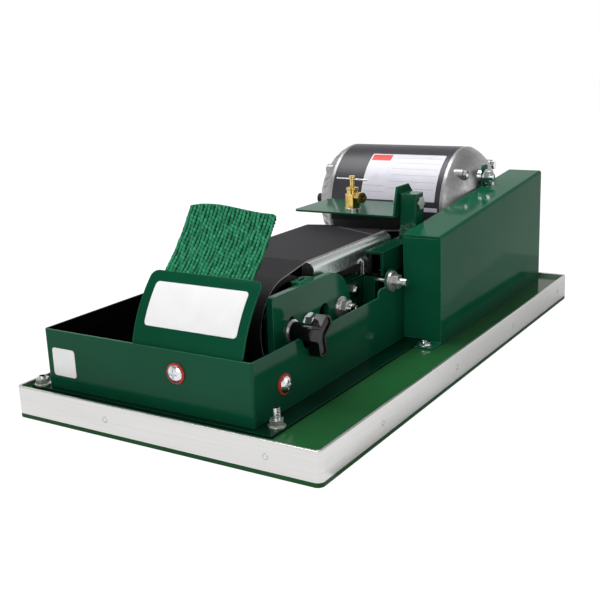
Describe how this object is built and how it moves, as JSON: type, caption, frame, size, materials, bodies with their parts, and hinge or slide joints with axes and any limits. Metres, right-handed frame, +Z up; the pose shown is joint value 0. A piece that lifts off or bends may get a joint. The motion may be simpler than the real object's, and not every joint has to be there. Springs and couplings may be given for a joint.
{
  "type": "wet belt sander",
  "caption": "Bench wet belt sander: abrasive belt over drums and a platen in a shallow water tank, motor and guarded V-belt behind, tension arm with knob, splash guard, water valve.",
  "frame": {"origin": "middle of the board's underside", "axes": "+X to the belt guard's side, +Y from the splash guard to the motor, +Z up"},
  "size_m": [0.3302, 0.6096, 0.1981],
  "materials": {
    "board_paint": "painted, satin",
    "edge_metal": "satin",
    "green_enamel": "gloss",
    "bright_green": "gloss",
    "green_cloth": "open weave",
    "abrasive": "gritty, matt",
    "zinc": "bright zinc",
    "galvanised": "galvanised",
    "steel": "ground",
    "laminations": "dull",
    "cast_iron": "machined",
    "drum_metal": "turned",
    "red_fibre": "matt",
    "black_rubber": "matt",
    "black_plastic": "gloss",
    "motor_paint": "satin",
    "bell_metal": "die cast",
    "brass": "machined"
  },
  "bodies": {
    "frame": {"base_board": "board_paint", "edge_trim": "edge_metal", "tank_base_plate": "green_enamel", "water_tank": "green_enamel", "tank_studs": "zinc", "tank_nuts": "zinc", "drain_screws": "zinc", "sealing_washers": "red_fibre", "splash_guard": "bright_green", "splash_cloth": "green_cloth", "drum_frame": "green_enamel", "side_plate": "green_enamel", "side_plate_bolts": "zinc", "tie_bolt": "zinc", "tie_nut": "zinc", "platen": "galvanised", "platen_bolts": "zinc", "bearing_housing": "green_enamel", "housing_bolts": "zinc", "drive_bearings": "steel", "abrasive_belt": "abrasive", "pivot_bolt": "zinc", "pivot_nut": "zinc", "clamp_stud": "zinc", "clamp_washers": "zinc", "v_belt": "black_rubber", "belt_guard": "green_enamel", "guard_fasteners": "zinc", "motor_rails": "green_enamel", "motor_base": "motor_paint", "motor_bolts": "zinc", "motor_shell": "motor_paint", "drive_end_bell": "bell_metal", "rear_end_bell": "bell_metal", "cord_gland": "black_rubber", "through_bolts": "zinc", "motor_stator": "laminations", "motor_bearings": "steel", "hood_post": "green_enamel", "hood_bolt": "zinc"},
    "rotor": {"motor_shaft": "steel", "motor_rotor": "laminations", "motor_pulley": "cast_iron"},
    "drive": {"drive_shaft": "steel", "drive_drum": "drum_metal", "drive_pulley": "cast_iron"},
    "arm": {"tension_arm": "green_enamel", "idler_axle": "steel", "axle_nut": "zinc", "axle_ring": "steel"},
    "idler": {"idler_drum": "drum_metal", "idler_bearings": "steel"},
    "knob": {"clamp_knob": "black_plastic"},
    "hood": {"hood": "green_enamel", "hood_curtain": "black_rubber", "valve_ring": "steel", "valve_body": "brass"},
    "valve": {"valve_stem": "brass", "valve_handle": "steel"}
  },
  "joints": [
    {"name": "motor_spin", "type": "hinge", "parent": "frame", "child": "rotor", "pos_m": [0, 0.222, 0.1276], "axis": [1, 0, 0], "continuous": true},
    {"name": "drive_spin", "type": "hinge", "parent": "frame", "child": "drive", "pos_m": [0, 0.048, 0.08], "axis": [1, 0, 0], "continuous": true},
    {"name": "arm_pivot", "type": "hinge", "parent": "frame", "child": "arm", "pos_m": [0.0708, -0.1105, 0.0835], "axis": [-1, 0, 0], "range_deg": [-2.5, 4.5], "deforming": ["abrasive_belt"]},
    {"name": "idler_spin", "type": "hinge", "parent": "arm", "child": "idler", "pos_m": [0, -0.17, 0.08], "axis": [1, 0, 0], "continuous": true},
    {"name": "knob_turn", "type": "hinge", "parent": "frame", "child": "knob", "pos_m": [0.09, -0.1965, 0.0837], "axis": [1, 0, 0], "range_deg": [-90, 360]},
    {"name": "hood_tilt", "type": "hinge", "parent": "frame", "child": "hood", "pos_m": [0.0644, 0.0435, 0.1595], "axis": [-1, 0, 0], "range_deg": [-15, 20]},
    {"name": "valve_turn", "type": "hinge", "parent": "hood", "child": "valve", "pos_m": [0.005, 0.0415, 0.165], "axis": [0, 0, 1], "range_deg": [0, 1080]}
  ],
  "couplings": [
    {"joint": "drive_spin", "follows": "motor_spin", "ratio": 0.468},
    {"joint": "idler_spin", "follows": "motor_spin", "ratio": 0.468}
  ]
}
